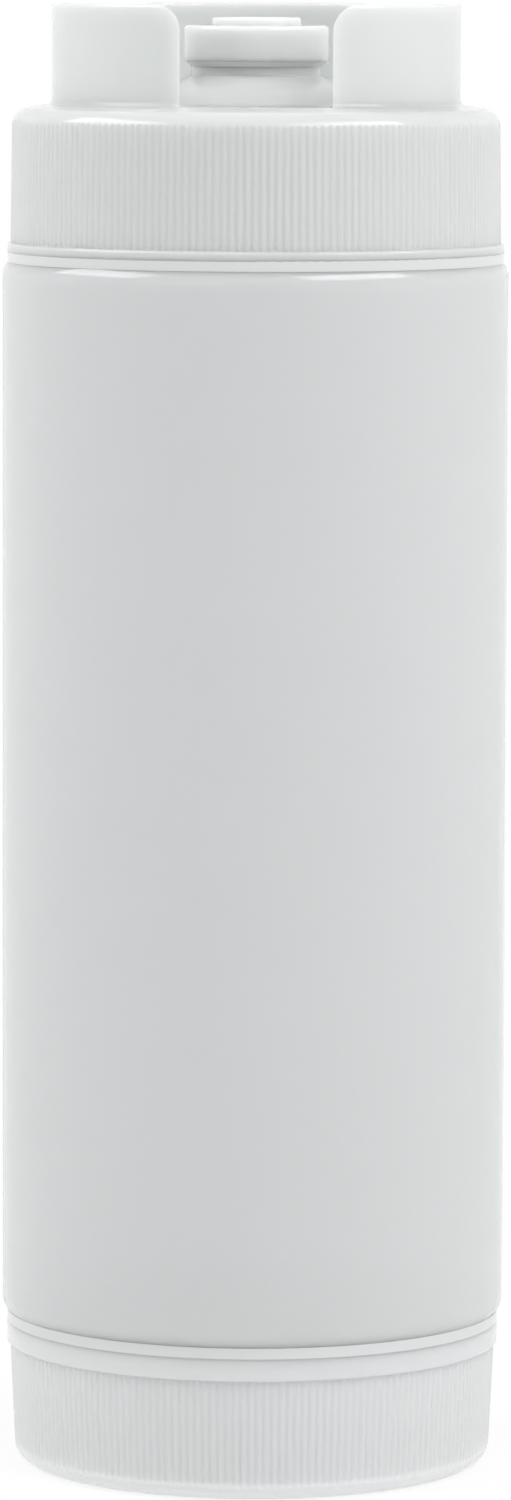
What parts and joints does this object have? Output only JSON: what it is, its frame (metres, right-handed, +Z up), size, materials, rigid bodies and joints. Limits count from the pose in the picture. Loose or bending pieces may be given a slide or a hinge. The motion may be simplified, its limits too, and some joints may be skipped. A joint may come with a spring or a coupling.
{
  "type": "condiment squeeze bottle",
  "caption": "Double-ended squeeze bottle with a wide refill cap as its foot and a ribbed dispensing cap whose curved walls guard a short valve nozzle.",
  "frame": {"origin": "middle of the refill cap's flat base, on which the bottle stands", "axes": "+Z up along the bottle towards the nozzle; -Y towards the gap between two stand walls that faces the viewer"},
  "size_m": [0.07, 0.07, 0.203],
  "materials": {
    "body_plastic": "natural milky squeeze plastic, soft satin",
    "cap_plastic": "natural milky moulded plastic, satin",
    "collar_plastic": "natural milky moulded plastic, satin",
    "seal_rubber": "pale elastic sealing ring",
    "valve_silicone": "clear soft silicone, slightly milky"
  },
  "bodies": {
    "bottle": {"bottle_body": "body_plastic"},
    "dispensing_gasket": {"dispensing_cap_gasket": "seal_rubber"},
    "dispensing_closure": {"dispensing_cap": "cap_plastic"},
    "valve": {"silicone_valve": "valve_silicone"},
    "collar": {"valve_collar": "collar_plastic"},
    "refill_gasket": {"refill_cap_gasket": "seal_rubber"},
    "refill_closure": {"refill_cap": "cap_plastic"}
  },
  "joints": [
    {"name": "dispensing_cap_lift", "type": "slide", "parent": "bottle", "child": "dispensing_gasket", "axis": [0, 0, 1], "range_m": [0, 0.02125]},
    {"name": "dispensing_cap_screw", "type": "hinge", "parent": "dispensing_gasket", "child": "dispensing_closure", "pos_m": [0, 0, 0.187], "axis": [0, 0, 1], "range_deg": [0, 1801]},
    {"name": "collar_lift", "type": "slide", "parent": "dispensing_closure", "child": "valve", "axis": [0, 0, 1], "range_m": [0, 0.005]},
    {"name": "collar_screw", "type": "hinge", "parent": "valve", "child": "collar", "pos_m": [0, 0, 0.1975], "axis": [0, 0, 1], "range_deg": [0, 721]},
    {"name": "refill_cap_drop", "type": "slide", "parent": "bottle", "child": "refill_gasket", "axis": [0, 0, -1], "range_m": [0, 0.02125]},
    {"name": "refill_cap_screw", "type": "hinge", "parent": "refill_gasket", "child": "refill_closure", "pos_m": [0, 0, 0.0024], "axis": [0, 0, -1], "range_deg": [0, 1801]}
  ],
  "couplings": [
    {"joint": "dispensing_cap_screw", "follows": "dispensing_cap_lift", "rad_per_m": 1478.4},
    {"joint": "collar_screw", "follows": "collar_lift", "rad_per_m": 2513.3},
    {"joint": "refill_cap_screw", "follows": "refill_cap_drop", "rad_per_m": 1478.4}
  ]
}
